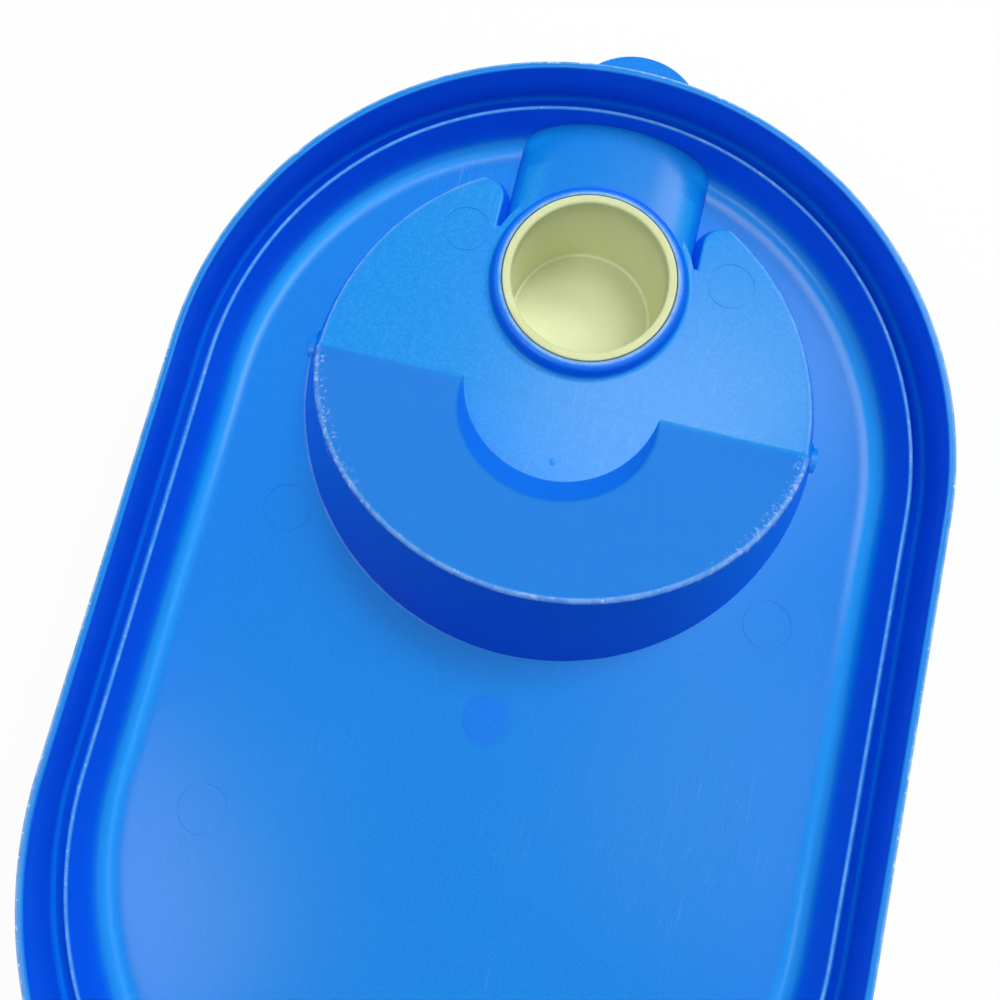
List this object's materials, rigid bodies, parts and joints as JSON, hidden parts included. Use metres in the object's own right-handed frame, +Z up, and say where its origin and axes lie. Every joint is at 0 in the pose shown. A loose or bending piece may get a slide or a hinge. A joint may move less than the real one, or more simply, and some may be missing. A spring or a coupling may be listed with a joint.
{
  "type": "jug lid with rocker pour cap",
  "caption": "Oval press-on jug lid, inner side up: grooved rim with sealing rib, round well with sloping pocket, pouring trough and lip, and a rocker cap whose hollow plug closes the hole.",
  "frame": {"origin": "middle of the object's outline, on the surface that it lies on, under the outer face of the rocker cap", "axes": "+Z up out of the lid's inner side, as it lies in the picture; +Y along the lid towards the pouring lip; X across"},
  "size_m": [0.11, 0.1804, 0.0332],
  "materials": {
    "lid_plastic": "semi-gloss moulded polyethylene, bright blue, worn paler along its edges",
    "cap_plastic": "satin moulded plastic, pale yellow-green"
  },
  "bodies": {
    "lid": {"lid": "lid_plastic"},
    "rocker_cap": {"rocker_cap": "cap_plastic"}
  },
  "joints": [
    {"name": "cap_rock", "type": "hinge", "parent": "lid", "child": "rocker_cap", "pos_m": [0, 0.0322, 0.0133], "axis": [-1, 0, 0], "range_deg": [0, 25]}
  ]
}
